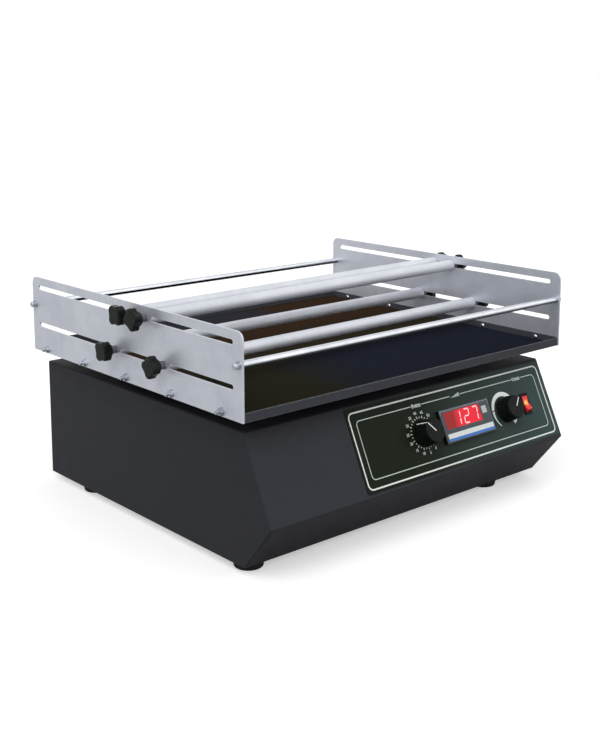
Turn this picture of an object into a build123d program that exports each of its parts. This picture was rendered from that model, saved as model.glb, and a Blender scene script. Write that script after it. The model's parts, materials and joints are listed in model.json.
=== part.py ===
from build123d import *
import math
import os

# Bench orbital shaker, in millimetres, +Z up, +X to the machine's right, front towards -Y.
# The frame's origin is on the bench, under the centre of the whole machine's outline.
# Pieces are drawn about the drive axis (x = 0, y = 0) and moved into place when they are saved.

# Overall sizes
foot_height = 9.8
housing_width = 466.0
housing_height = 142.6
roof_depth = 392.0
crease_forward = 43.0
crease_height = 52.4
platform_gap = 17.8
platform_width = 500.0
platform_depth = 413.6
side_plate_height = 91.0
orbit_radius = 10.0

# Bevel on the ends of turned pieces
turned_edge = 0.9

# Clearances
running_clearance = 0.05
part_clearance = 0.3
open_pivot_clearance = 0.5
roof_hole_margin = 4.0
hub_roof_clearance = 2.0

# Housing shell and base plate
shell_thickness = 1.5
shell_bend_radius = 2.0
lug_reach = 18.0
lug_length = 24.0
lug_thickness = 3.0
lug_spacing_y = 85.0
base_plate_thickness = 2.5
vent_count = 9
vent_length = 46.0
vent_width = 4.0
vent_pitch = 12.0
vent_x = -95.0
vent_z = 80.0

# Feet
foot_diameter = 34.6
foot_tip_diameter = 31.0
foot_edge_radius = 2.0
foot_recess_diameter = 13.0
foot_recess_depth = 5.0
foot_left_inset = 22.0
foot_right_inset = 73.0
foot_front_inset = 21.5
foot_rear_inset = 72.0
foot_left_x = foot_left_inset - housing_width / 2
foot_right_x = housing_width / 2 - foot_right_inset
foot_front_y = foot_front_inset - roof_depth / 2
foot_rear_y = roof_depth / 2 - foot_rear_inset

# Control panel, measured on the sloping front: x across, then distance up from the crease
fascia_width = 329.0
fascia_side_margin = 3.2
fascia_bottom = 3.8
fascia_top_margin = 3.2
slope_length = math.hypot(crease_forward, housing_height - crease_height)
fascia_right = housing_width / 2 - fascia_side_margin
fascia_left = fascia_right - fascia_width
fascia_top = slope_length - fascia_top_margin
fascia_thickness = 0.8
fascia_corner_radius = 3.0
control_drop = 0.16
timer_inset = 223.6
display_inset = 154.9
speed_inset = 82.8
switch_inset = 44.75
control_height = slope_length / 2 - control_drop
timer_x = fascia_right - timer_inset
display_x = fascia_right - display_inset
speed_x = fascia_right - speed_inset
switch_x = fascia_right - switch_inset

# Display meter
display_width = 84.8
display_height = 38.6
display_bezel_depth = 5.0
display_body_margin = 2.5
display_body_depth = 42.0
display_edge = 1.0
display_window_margin = 2.0
display_window_thickness = 1.0

# Dial knobs
dial_base_diameter = 31.0
dial_face_diameter = 27.4
dial_height = 18.2
dial_skirt = 1.2
dial_edge = 0.8
dial_lift = 0.6
dial_flutes = 20
dial_flute_radius = 1.1
dial_flute_depth = 0.6
dial_recess_diameter = 20.0
dial_recess_depth = 4.5
dial_bore_depth = 14.0
spindle_diameter = 6.0
spindle_inner_length = 9.0
bushing_diameter = 9.0
bushing_length = 2.4
timer_body_size = 40.0
timer_body_depth = 28.0
pot_body_diameter = 24.0
pot_body_depth = 12.0

# Power switch
switch_frame_width = 13.0
switch_frame_height = 26.0
switch_frame_proud = 2.0
switch_body_inset = 0.7
switch_wall = 1.0
switch_blade_width = 4.8
switch_blade_thickness = 0.8
switch_edge = 0.6
rocker_side_clearance = 0.3
rocker_radius = 9.9
rocker_end_clearance = 0.4
rocker_pivot_depth = 2.0
rocker_valley = 3.4
rocker_end_angle = 35.0
rocker_tilt = 10.0
rocker_pin_diameter = 2.4
rocker_pin_length = 1.2
switch_blade_length = 6.0

# Mains inlet on the back wall
inlet_inset = 83.0
inlet_x = housing_width / 2 - inlet_inset
inlet_z = 47.0
inlet_flange_width = 50.0
inlet_flange_height = 40.0
inlet_flange_thickness = 2.0
inlet_flange_radius = 3.0
inlet_body_width = 29.0
inlet_body_height = 33.0
inlet_body_depth = 25.0
inlet_socket_width = 24.0
inlet_socket_height = 16.4
inlet_socket_depth = 16.0
inlet_socket_rise = 6.0
inlet_pin_tip_depth = 5.5
inlet_pin_thickness = 2.0
inlet_pin_width = 4.0
inlet_pin_places = ((-7.0, -2.0), (0.0, 2.0), (7.0, -2.0))
fuse_drawer_width = 22.0
fuse_drawer_height = 7.0
fuse_drawer_depth = 14.0
fuse_drawer_drop = 10.0

# Mechanism deck and its posts
deck_side_gap = 33.0
deck_end_gap = 46.0
deck_thickness = 6.0
deck_drop = 52.4
deck_width = housing_width - 2 * deck_side_gap
deck_depth = roof_depth - 2 * deck_end_gap
deck_underside_z = foot_height + housing_height - deck_drop
deck_corner_radius = 10.0
post_diameter = 18.0
post_inset = 15.0
post_x = deck_width / 2 - post_inset
post_y = deck_depth / 2 - post_inset

# Main bearing housing, shaft and crank
shaft_diameter = 15.0
shaft_shoulder_diameter = 18.0
bearing_outer_diameter = 32.0
bearing_width = 9.0
bearing_housing_diameter = 50.0
bearing_housing_length = 46.0
bearing_flange_diameter = 90.0
bearing_flange_thickness = 8.0
bearing_end_lip = 2.0
bearing_flange_bolt_radius = 36.0
deck_shaft_hole = 26.0
crank_disc_diameter = 46.0
crank_disc_thickness = 10.0
crank_pin_diameter = 15.0
pin_top_gap = 2.0

# Belt drive
pulley_lift = 3.0
pulley_width = 14.0
pulley_flange_thickness = 2.0
pulley_flange_height = 3.0
driven_pulley_diameter = 104.0
driven_hub_diameter = 38.0
driven_web_thickness = 6.0
driven_web_holes = 5
driven_web_hole_diameter = 16.0
motor_pulley_diameter = 34.0
belt_thickness = 2.0
belt_side_clearance = 0.5
belt_lift = 0.35
motor_x = 100.0
motor_y = 60.0
motor_diameter = 76.0
motor_cap_height = 8.0
motor_cap_inset = 3.0
motor_flange_size = 82.0
motor_flange_thickness = 6.0
motor_floor_gap = 7.7
motor_low_z = foot_height + base_plate_thickness + motor_floor_gap
motor_shaft_diameter = 10.0
motor_shaft_depth = 22.0
motor_bolt_spacing = 58.0
counterweight_outer_radius = 51.0
counterweight_inner_radius = 24.0
counterweight_thickness = 10.0
counterweight_angle = 150.0
counterweight_heading_angle = 90.0

# Idler cranks that keep the platform square
idler_side_inset = 50.0
idler_end_inset = 35.0
idler_x = deck_width / 2 - idler_side_inset
idler_y = deck_depth / 2 - idler_end_inset
idler_block_flange = 48.0
idler_block_flange_thickness = 5.0
idler_block_diameter = 32.0
idler_block_height = 24.0
idler_shaft_diameter = 10.0
idler_shaft_inset = 3.0
idler_arm_radius = 11.0
idler_arm_thickness = 7.0
idler_arm_lift = 1.0
idler_bolt_spacing = 41.0

# Platform hubs
centre_hub_diameter = 44.0
centre_hub_flange = 72.0
idler_hub_diameter = 28.0
idler_hub_flange = 44.0
hub_flange_thickness = 3.0
hub_cap_thickness = 1.5

# Tray, mat and side plates
side_plate_thickness = 2.0
side_plate_corner_radius = 9.0
slot_end_margin = 14.8
slot_half_length = platform_depth / 2 - slot_end_margin
slot_width = 5.6
lower_slot_height = 33.2
upper_slot_height = 78.6
tray_sheet = 1.5
tray_upstand = 10.5
tray_lip = 9.5
tray_front_inset = 0.5
tray_corner_relief = 3.0
lip_hole_diameter = 3.0
lip_hole_x = -72.0
mat_thickness = 2.5
mat_side_gap = 3.2
mat_end_gap = 0.5
plate_screw_height = 5.2
plate_screw_end_margin = 33.8
plate_screw_count = 5
plate_screw_pitch = (platform_depth - 2 * plate_screw_end_margin) / (plate_screw_count - 1)
plate_screw_diameter = 4.0
plate_screw_head_diameter = 6.8
plate_screw_head_height = 1.9
plate_screw_tail = 8.0
nut_across_flats = 7.0
nut_height = 3.0
nut_washer_diameter = 9.0
nut_washer_thickness = 0.8

# Tie rods
tie_rod_diameter = 8.0
tie_rod_inset = 6.5
tie_rod_y = platform_depth / 2 - tie_rod_inset
tie_rod_height = 57.0
tie_screw_diameter = 4.0
tie_screw_head_diameter = 7.0
tie_screw_head_height = 5.5
tie_screw_depth = 14.0

# Clamp bars and their knobs
bar_diameter = 14.5
bar_wall = 1.5
bar_plug_length = 16.0
bar_end_gap = 0.5
stud_diameter = 5.0
upper_rear_bar_ends = (-9.0, 3.3)
upper_front_bar_ends = (-40.0, -26.6)
lower_rear_bar_ends = (20.5, 27.7)
lower_front_bar_ends = (-73.0, -65.0)
upper_rear_knob_turns = (87.0, 18.0)
upper_front_knob_turns = (32.0, 40.0)
lower_rear_knob_turns = (80.0, 8.0)
lower_front_knob_turns = (53.0, 66.0)
spacer_diameter = 9.0
knob_standoff = 8.7
knob_boss_length = 3.5
knob_boss_diameter = 15.5
knob_head_thickness = 8.5
knob_head_width = 21.0
knob_corner_radius = 5.6
knob_front_rounding = 2.2
knob_back_rounding = 0.8
knob_waist_depth = 0.6
knob_waist_radius = 22.0
knob_bore_depth = 10.5

# Control board on the base plate
board_side_inset = 123.0
board_front_inset = 96.0
board_x = board_side_inset - housing_width / 2
board_y = board_front_inset - roof_depth / 2
board_length = 120.0
board_width = 84.0
board_thickness = 1.6
board_hole_inset = 6.0
standoff_height = 10.0
standoff_diameter = 6.0
transformer_size = (42.0, 36.0, 34.0)
transformer_place = (-30.0, 10.0)
heat_sink_length = 50.0
heat_sink_depth = 9.0
heat_sink_height = 26.0
heat_sink_gaps = 6
heat_sink_gap_width = 4.5
heat_sink_web = 2.5
heat_sink_place = (25.0, 28.0)
capacitor_diameter = 16.0
capacitor_height = 26.0
capacitor_places = ((8.0, -5.0), (28.0, -5.0))
terminal_block_size = (60.0, 10.0, 12.0)
terminal_block_place = (10.0, -33.0)

# Fasteners inside
screw_m5 = 5.0
screw_m4 = 4.0
screw_m6 = 6.0
pan_head_ratio = 1.9
pan_head_height_ratio = 0.55

# Levels and places worked out from the sizes above
roof_z = foot_height + housing_height
roof_underside_z = roof_z - shell_thickness
platform_z = roof_z + platform_gap
base_top_z = foot_height + base_plate_thickness
front_edge_y = -roof_depth / 2
back_wall_y = roof_depth / 2
crease_y = front_edge_y - crease_forward
crease_z = foot_height + crease_height
deck_top_z = deck_underside_z + deck_thickness
pulley_z = deck_top_z + pulley_lift
crank_z = pulley_z + pulley_width
idler_block_top_z = deck_top_z + idler_block_height
idler_arm_z = idler_block_top_z + idler_arm_lift
pin_top_z = platform_z - pin_top_gap
hub_bottom_z = roof_z + hub_roof_clearance
plate_inner_x = platform_width / 2 - side_plate_thickness
tray_top_z = platform_z + tray_sheet
chin_length = math.hypot(crease_forward, crease_height)
machine_front_y = crease_y
machine_back_y = platform_depth / 2 - orbit_radius
axis_y = -(machine_front_y + machine_back_y) / 2

# The sloping front's own plane: x across, y up the slope, z out of the panel
slope_up = (0, crease_forward / slope_length, (housing_height - crease_height) / slope_length)
slope_out = (0, -slope_up[2], slope_up[1])
slope = Plane(origin=(0, crease_y, crease_z), x_dir=(1, 0, 0), z_dir=slope_out)
panel_front = fascia_thickness

# The back wall's own plane: x to the left as seen from behind the machine's front, z outwards
back_wall = Plane(origin=(inlet_x, back_wall_y, inlet_z), x_dir=(-1, 0, 0), z_dir=(0, 1, 0))

# Where a moving group stands at rest
base_place = Pos(0, axis_y, 0)
platform_place = Pos(0, axis_y - orbit_radius, 0)

os.makedirs("parts", exist_ok=True)


def save(shape, name, place=base_place):
    export_step(place * shape, f"parts/{name}.step")


def group(pieces):
    """Gathers separate solids that share one node."""
    return Compound([solid for piece in pieces for solid in piece.solids()])


def upright(diameter, low, high, x=0.0, y=0.0):
    """A round bar standing from one height to another."""
    return Pos(x, y, (low + high) / 2) * Cylinder(diameter / 2, high - low)


def crosswise(diameter, left, right, y=0.0, z=0.0):
    """A round bar lying along X."""
    return Pos((left + right) / 2, y, z) * Rot(0, 90, 0) * Cylinder(diameter / 2, right - left)


def on_slope(shape, x, up=control_height):
    """Moves a shape drawn with +Z out of the panel to its place on the sloping front."""
    return slope.location * Pos(x, up, 0) * shape


def outward(diameter, low, high):
    """A round bar along the panel's outward direction, from one depth to another."""
    return Pos(0, 0, (low + high) / 2) * Cylinder(diameter / 2, high - low)


def outward_box(width, height, low, high):
    """A block along the panel's outward direction, from one depth to another."""
    return Pos(0, 0, (low + high) / 2) * Box(width, height, high - low)


def pan_screw(diameter, length):
    """A pan head screw that hangs from its head: the head is above z = 0, the shank below."""
    head_height = diameter * pan_head_height_ratio
    head = Pos(0, 0, head_height / 2) * Cylinder(diameter * pan_head_ratio / 2, head_height)
    head = chamfer(head.edges().group_by(Axis.Z)[-1], head_height / 4)
    shank = Pos(0, 0, -length / 2) * Cylinder(diameter / 2, length)
    return head + shank


def four_corners(x, y):
    return [(side * x, end * y) for side in (-1, 1) for end in (-1, 1)]


# Housing


def housing_outline(drop):
    """Side outline of the housing, carried below its bottom edge by a drop."""
    chin_run = drop * crease_forward / crease_height
    corners = [
        (back_wall_y, foot_height - drop),
        (back_wall_y, roof_z),
        (front_edge_y, roof_z),
        (crease_y, crease_z),
        (front_edge_y + chin_run, foot_height - drop),
    ]
    return make_face(Polyline(*corners, close=True))


def display_body_cut(grow):
    width = display_width - 2 * display_body_margin + grow
    height = display_height - 2 * display_body_margin + grow
    return outward_box(width, height, -2 * shell_thickness, 2 * shell_thickness)


def switch_body_cut(grow):
    width = switch_frame_width - 2 * switch_body_inset + grow
    height = switch_frame_height - 2 * switch_body_inset + grow
    return outward_box(width, height, -2 * shell_thickness, 2 * shell_thickness)


def panel_cuts(grow):
    """Everything that passes through the sloping wall and the fascia."""
    bushing = outward(bushing_diameter + grow, -2 * shell_thickness, 2 * shell_thickness)
    return [
        on_slope(display_body_cut(grow), display_x),
        on_slope(switch_body_cut(grow), switch_x),
        on_slope(bushing, timer_x),
        on_slope(bushing, speed_x),
    ]


def lug_places():
    x = housing_width / 2 - shell_thickness - lug_reach / 2
    return [(side * x, row * lug_spacing_y) for side in (-1, 1) for row in (-1, 0, 1)]


def housing_shell():
    block = extrude(Plane.YZ * housing_outline(0), amount=housing_width / 2, both=True)
    bends = block.edges().filter_by(lambda edge: edge.center().Z > foot_height + 1)
    block = fillet(bends, shell_bend_radius)
    room = offset(housing_outline(2 * shell_thickness), -shell_thickness, kind=Kind.INTERSECTION)
    shell = block - extrude(Plane.YZ * room, amount=housing_width / 2 - shell_thickness, both=True)
    pin_hole = crank_pin_diameter + 2 * (orbit_radius + roof_hole_margin)
    idler_hole = idler_shaft_diameter + 2 * (orbit_radius + roof_hole_margin)
    shell -= upright(pin_hole, roof_underside_z - 1, roof_z + 1)
    for x, y in four_corners(idler_x, idler_y):
        shell -= upright(idler_hole, roof_underside_z - 1, roof_z + 1, x, y)
    for cut in panel_cuts(2 * part_clearance):
        shell -= cut
    inlet_cut = Box(
        inlet_body_width + 2 * part_clearance,
        inlet_body_height + 2 * part_clearance,
        4 * shell_thickness,
    )
    shell -= back_wall.location * inlet_cut
    for index in range(vent_count):
        vent = SlotOverall(vent_length, vent_width, rotation=90)
        vent_place = vent_x + (index - (vent_count - 1) / 2) * vent_pitch
        vent_face = Plane(origin=(vent_place, back_wall_y, vent_z), x_dir=(-1, 0, 0), z_dir=(0, 1, 0))
        shell -= extrude(vent_face * vent, amount=2 * shell_thickness, both=True)
    lug_clearance_hole = screw_m4 + 2 * running_clearance
    for x, y in lug_places():
        lug = Box(lug_reach + shell_thickness / 2, lug_length, lug_thickness)
        lug_x = x + math.copysign(shell_thickness / 4, x)
        shell += Pos(lug_x, y, base_top_z + lug_thickness / 2) * lug
        shell -= upright(lug_clearance_hole, base_top_z - 1, base_top_z + lug_thickness + 1, x, y)
    return shell


def base_plate():
    chin_wall = shell_thickness * chin_length / crease_height
    front = front_edge_y + chin_wall + part_clearance
    back = back_wall_y - shell_thickness - part_clearance
    width = housing_width - 2 * (shell_thickness + part_clearance)
    middle_z = foot_height + base_plate_thickness / 2
    plate = Pos(0, (front + back) / 2, middle_z) * Box(width, back - front, base_plate_thickness)
    for x, y in foot_places():
        plate -= upright(screw_m5 + 2 * running_clearance, 0, 2 * base_top_z, x, y)
    for x, y in lug_places():
        plate -= upright(screw_m4 + 2 * running_clearance, 0, 2 * base_top_z, x, y)
    for x, y in four_corners(post_x, post_y):
        plate -= upright(screw_m6 + 2 * running_clearance, 0, 2 * base_top_z, x, y)
    return plate


# Feet and the screws under the base


def foot_places():
    return [(x, y) for x in (foot_left_x, foot_right_x) for y in (foot_front_y, foot_rear_y)]


def rubber_feet():
    top = foot_diameter / 2
    tip = foot_tip_diameter / 2
    recess = foot_recess_diameter / 2
    hole = screw_m5 / 2 + running_clearance
    outline = make_face(
        Polyline(
            (hole, foot_recess_depth),
            (recess, foot_recess_depth),
            (recess, 0),
            (tip, 0),
            (top, foot_height),
            (hole, foot_height),
            close=True,
        )
    )
    foot = revolve(Plane.XZ * outline, Axis.Z)
    rim = foot.edges().filter_by(GeomType.CIRCLE).filter_by(lambda edge: abs(edge.radius - tip) < 0.01)
    foot = fillet(rim, foot_edge_radius)
    return group([Pos(x, y, 0) * foot for x, y in foot_places()])


def foot_screws():
    length = base_top_z - foot_recess_depth + 2 * base_plate_thickness
    screw = Rot(180, 0, 0) * pan_screw(screw_m5, length)
    return group([Pos(x, y, foot_recess_depth) * screw for x, y in foot_places()])


def base_screws():
    lug_screw = Rot(180, 0, 0) * pan_screw(screw_m4, base_plate_thickness + lug_thickness)
    post_screw = Rot(180, 0, 0) * pan_screw(screw_m6, base_plate_thickness + post_diameter)
    placed = [Pos(x, y, foot_height) * lug_screw for x, y in lug_places()]
    placed += [Pos(x, y, foot_height) * post_screw for x, y in four_corners(post_x, post_y)]
    return group(placed)


# Control panel


def control_fascia():
    width = fascia_right - fascia_left
    height = fascia_top - fascia_bottom
    middle_x = (fascia_right + fascia_left) / 2
    middle_up = (fascia_top + fascia_bottom) / 2
    sheet = extrude(RectangleRounded(width, height, fascia_corner_radius), amount=fascia_thickness)
    fascia = on_slope(sheet, middle_x, middle_up)
    for cut in panel_cuts(2 * part_clearance):
        fascia -= cut
    return fascia


def display_case():
    bezel = outward_box(display_width, display_height, panel_front, panel_front + display_bezel_depth)
    bezel = chamfer(bezel.edges().group_by(Axis.Z)[-1], display_edge)
    body = outward_box(
        display_width - 2 * display_body_margin,
        display_height - 2 * display_body_margin,
        panel_front - display_body_depth,
        panel_front,
    )
    window_room = outward_box(
        display_width - 2 * display_window_margin,
        display_height - 2 * display_window_margin,
        panel_front + display_bezel_depth - display_window_thickness,
        panel_front + 2 * display_bezel_depth,
    )
    return on_slope(bezel + body - window_room, display_x)


def display_window():
    shrink = 2 * (display_window_margin + part_clearance / 2)
    front = panel_front + display_bezel_depth
    pane = outward_box(
        display_width - shrink,
        display_height - shrink,
        front - display_window_thickness,
        front,
    )
    return on_slope(pane, display_x)


def spindle_bore(shape, depth):
    return shape - outward(spindle_diameter + 2 * running_clearance, -depth, dial_height)


def timer_unit():
    back = -shell_thickness - timer_body_depth
    body = outward_box(timer_body_size, timer_body_size, back, -shell_thickness)
    neck = outward(bushing_diameter, -shell_thickness, panel_front + bushing_length)
    return on_slope(spindle_bore(body + neck, spindle_inner_length), timer_x)


def speed_potentiometer():
    body = outward(pot_body_diameter, -shell_thickness - pot_body_depth, -shell_thickness)
    neck = outward(bushing_diameter, -shell_thickness, panel_front + bushing_length)
    return on_slope(spindle_bore(body + neck, spindle_inner_length), speed_x)


def spindle():
    low = -spindle_inner_length + part_clearance
    high = panel_front + dial_lift + dial_bore_depth
    return outward(spindle_diameter, low, high)


def dial_knob():
    """Fluted knob, hollow underneath to clear the bushing, bored for its spindle."""
    foot = dial_base_diameter / 2
    face = dial_face_diameter / 2
    recess = dial_recess_diameter / 2
    bore = spindle_diameter / 2 + running_clearance / 2
    outline = make_face(
        Polyline(
            (bore, dial_recess_depth),
            (recess, dial_recess_depth),
            (recess, 0),
            (foot, 0),
            (foot, dial_skirt),
            (face, dial_height - dial_edge),
            (face - dial_edge, dial_height),
            (0, dial_height),
            (0, dial_bore_depth),
            (bore, dial_bore_depth),
            close=True,
        )
    )
    knob = revolve(Plane.XZ * outline, Axis.Z)
    lean = math.degrees(math.atan2(foot - face, dial_height))
    groove = Rot(0, -lean, 0) * Cylinder(dial_flute_radius, 2 * dial_height)
    groove = Pos(foot + dial_flute_radius - dial_flute_depth, 0, 0) * groove
    for index in range(dial_flutes):
        knob -= Rot(0, 0, (index + 0.5) * 360 / dial_flutes) * groove
    return Pos(0, 0, panel_front + dial_lift) * knob


# Power switch

switch_inner_width = switch_frame_width - 2 * (switch_body_inset + switch_wall)
switch_inner_height = 2 * (rocker_radius + rocker_end_clearance)
rocker_pivot_z = panel_front - rocker_pivot_depth


def switch_frame():
    body_width = switch_frame_width - 2 * switch_body_inset
    body_height = switch_frame_height - 2 * switch_body_inset
    front = panel_front + switch_frame_proud
    floor_z = rocker_pivot_z - rocker_radius - rocker_end_clearance
    bezel = outward_box(switch_frame_width, switch_frame_height, panel_front, front)
    bezel = chamfer(bezel.edges().group_by(Axis.Z)[-1], switch_edge)
    body = outward_box(body_width, body_height, floor_z - switch_wall, panel_front)
    hollow = outward_box(switch_inner_width, switch_inner_height, floor_z, 2 * front)
    pivot_hole_diameter = rocker_pin_diameter + 2 * running_clearance
    pivot_hole = crosswise(pivot_hole_diameter, -body_width, body_width, 0, rocker_pivot_z)
    frame = bezel + body - hollow - pivot_hole
    for side in (-1, 1):
        blade = outward_box(
            switch_blade_width,
            switch_blade_thickness,
            floor_z - switch_wall - switch_blade_length,
            floor_z - switch_wall,
        )
        frame += Pos(0, side * switch_frame_height / 4, 0) * blade
    return on_slope(frame, switch_x)


def power_rocker():
    """A disc about the pivot with a shallow valley across its top, tipped to the on side."""
    angle = math.radians(rocker_end_angle)
    end = (rocker_radius * math.cos(angle), rocker_radius * math.sin(angle))
    top = make_face(
        [
            Line((-end[0], end[1]), (0, rocker_valley)),
            Line((0, rocker_valley), (end[0], end[1])),
            ThreePointArc((end[0], end[1]), (0, -rocker_radius), (-end[0], end[1])),
        ]
    )
    width = switch_inner_width - 2 * rocker_side_clearance
    rocker = extrude(Plane.YZ * top, amount=width / 2, both=True)
    reach = width / 2 + rocker_pin_length
    rocker += crosswise(rocker_pin_diameter, -reach, reach)
    return on_slope(Pos(0, 0, rocker_pivot_z) * Rot(-rocker_tilt, 0, 0) * rocker, switch_x)


# Mains inlet


def mains_inlet():
    outline = RectangleRounded(inlet_flange_width, inlet_flange_height, inlet_flange_radius)
    flange = extrude(outline, amount=inlet_flange_thickness)
    body = outward_box(inlet_body_width, inlet_body_height, -inlet_body_depth, 0)
    front = inlet_flange_thickness
    socket = outward_box(inlet_socket_width, inlet_socket_height, front - inlet_socket_depth, 2 * front)
    drawer = outward_box(
        fuse_drawer_width + 2 * part_clearance,
        fuse_drawer_height + 2 * part_clearance,
        front - fuse_drawer_depth,
        2 * front,
    )
    inlet = flange + body
    inlet -= Pos(0, inlet_socket_rise, 0) * socket
    inlet -= Pos(0, -fuse_drawer_drop, 0) * drawer
    pin_floor = front - inlet_socket_depth
    pin = outward_box(inlet_pin_thickness, inlet_pin_width, pin_floor, front - inlet_pin_tip_depth)
    pins = [Pos(x, inlet_socket_rise + up, 0) * pin for x, up in inlet_pin_places]
    return back_wall.location * group([inlet, *pins])


def fuse_drawer():
    front = inlet_flange_thickness
    low = front - fuse_drawer_depth
    drawer = outward_box(fuse_drawer_width, fuse_drawer_height, low, front)
    finger_notch = outward_box(fuse_drawer_width / 3, fuse_drawer_height / 3, front - 1.2, 2 * front)
    drawer -= Pos(0, fuse_drawer_height / 3, 0) * finger_notch
    return back_wall.location * Pos(0, -fuse_drawer_drop, 0) * drawer


# Control board


def board_corners():
    x = board_length / 2 - board_hole_inset
    y = board_width / 2 - board_hole_inset
    return [(board_x + a, board_y + b) for a, b in four_corners(x, y)]


def control_board():
    low = base_top_z + standoff_height
    top = low + board_thickness
    board = Box(board_length, board_width, board_thickness)
    board = Pos(board_x, board_y, low + board_thickness / 2) * board
    on_board = Align.CENTER, Align.CENTER, Align.MIN
    transformer = Box(*transformer_size, align=on_board)
    heat_sink = Box(heat_sink_length, heat_sink_depth, heat_sink_height, align=on_board)
    for index in range(heat_sink_gaps):
        gap_x = (index - (heat_sink_gaps - 1) / 2) * heat_sink_length / heat_sink_gaps
        gap = Box(heat_sink_gap_width, heat_sink_depth, heat_sink_height, align=on_board)
        heat_sink -= Pos(gap_x, heat_sink_web, heat_sink_web) * gap
    terminals = Box(*terminal_block_size, align=on_board)
    capacitor = upright(capacitor_diameter, 0, capacitor_height)
    placed = [
        Pos(*transformer_place) * transformer,
        Pos(*heat_sink_place) * heat_sink,
        Pos(*terminal_block_place) * terminals,
        *[Pos(*place) * capacitor for place in capacitor_places],
    ]
    return group([board, *[Pos(board_x, board_y, top) * piece for piece in placed]])


def board_standoffs():
    height = base_top_z + standoff_height
    return group([upright(standoff_diameter, base_top_z, height, x, y) for x, y in board_corners()])


# Deck that carries the drive


def mechanism_deck():
    sheet = RectangleRounded(deck_width, deck_depth, deck_corner_radius)
    deck = Pos(0, 0, deck_underside_z) * extrude(sheet, amount=deck_thickness)
    deck -= upright(deck_shaft_hole, deck_underside_z - 1, deck_top_z + 1)
    deck -= upright(2 * motor_shaft_diameter, deck_underside_z - 1, deck_top_z + 1, motor_x, motor_y)
    for x, y in four_corners(post_x, post_y):
        deck -= upright(screw_m6 + 2 * running_clearance, deck_underside_z - 1, deck_top_z + 1, x, y)
    for x, y in deck_small_screw_places() + bearing_bolt_places():
        deck -= upright(screw_m4 + 2 * running_clearance, deck_underside_z - 1, deck_top_z + 1, x, y)
    return deck


def deck_small_screw_places():
    half = motor_bolt_spacing / 2
    places = [(motor_x + x, motor_y + y) for x, y in four_corners(half, half)]
    for x, y in four_corners(idler_x, idler_y):
        places += [(x - idler_bolt_spacing / 2, y), (x + idler_bolt_spacing / 2, y)]
    return places


def bearing_bolt_places():
    spread = bearing_flange_bolt_radius / math.sqrt(2)
    return four_corners(spread, spread)


def deck_posts():
    post = upright(post_diameter, base_top_z, deck_underside_z)
    bore = screw_m6 + 2 * running_clearance
    depth = post_diameter + 1
    post -= upright(bore, base_top_z, base_top_z + depth)
    post -= upright(bore, deck_underside_z - depth, deck_underside_z)
    return group([Pos(x, y, 0) * post for x, y in four_corners(post_x, post_y)])


def deck_screws():
    post_screw = pan_screw(screw_m6, deck_thickness + post_diameter)
    placed = [Pos(x, y, deck_top_z) * post_screw for x, y in four_corners(post_x, post_y)]
    motor_screw = pan_screw(screw_m4, deck_thickness + motor_flange_thickness)
    small = deck_small_screw_places()
    placed += [Pos(x, y, deck_top_z) * motor_screw for x, y in small[:4]]
    block_top = deck_top_z + idler_block_flange_thickness
    block_screw = pan_screw(screw_m4, deck_thickness + idler_block_flange_thickness)
    placed += [Pos(x, y, block_top) * block_screw for x, y in small[4:]]
    bearing_screw = Rot(180, 0, 0) * pan_screw(screw_m4, bearing_flange_thickness + deck_thickness)
    flange_low = deck_underside_z - bearing_flange_thickness
    placed += [Pos(x, y, flange_low) * bearing_screw for x, y in bearing_bolt_places()]
    return group(placed)


# Main bearings, shaft and crank

bearing_seat = bearing_outer_diameter + 2 * running_clearance
lower_bearing_z = deck_underside_z - bearing_housing_length + bearing_end_lip
upper_bearing_z = deck_underside_z - bearing_end_lip - bearing_width


def bearing_housing():
    low = deck_underside_z - bearing_housing_length
    body = upright(bearing_housing_diameter, low, deck_underside_z)
    body += upright(bearing_flange_diameter, deck_underside_z - bearing_flange_thickness, deck_underside_z)
    body -= upright(bearing_outer_diameter - 2 * bearing_end_lip, low - 1, deck_underside_z + 1)
    body -= upright(bearing_seat, low, lower_bearing_z + bearing_width)
    body -= upright(bearing_seat, upper_bearing_z, deck_underside_z)
    for x, y in bearing_bolt_places():
        hole = screw_m4 + 2 * running_clearance
        body -= upright(hole, deck_underside_z - bearing_flange_thickness - 1, deck_underside_z + 1, x, y)
    return body


def main_bearings():
    ring = upright(bearing_outer_diameter, 0, bearing_width)
    ring -= upright(shaft_diameter + 2 * running_clearance, -1, bearing_width + 1)
    return group([Pos(0, 0, low) * ring for low in (lower_bearing_z, upper_bearing_z)])


def eccentric_shaft():
    shaft = upright(shaft_diameter, lower_bearing_z - bearing_end_lip, crank_z)
    shoulder_low = lower_bearing_z + bearing_width + part_clearance
    shoulder_high = upper_bearing_z - part_clearance
    shaft += upright(shaft_shoulder_diameter, shoulder_low, shoulder_high)
    disc = upright(crank_disc_diameter, crank_z, crank_z + crank_disc_thickness)
    disc = chamfer(disc.edges().group_by(Axis.Z)[-1], turned_edge)
    shaft += disc
    pin = upright(crank_pin_diameter, crank_z + crank_disc_thickness, pin_top_z, 0, -orbit_radius)
    pin = chamfer(pin.edges().group_by(Axis.Z)[-1], turned_edge)
    return shaft + pin


def flanged_pulley(diameter):
    """A flat belt pulley with a flange on each side, standing from z = 0."""
    rim = upright(diameter, 0, pulley_width)
    flange = diameter + 2 * pulley_flange_height
    rim += upright(flange, 0, pulley_flange_thickness)
    rim += upright(flange, pulley_width - pulley_flange_thickness, pulley_width)
    return rim


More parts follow.
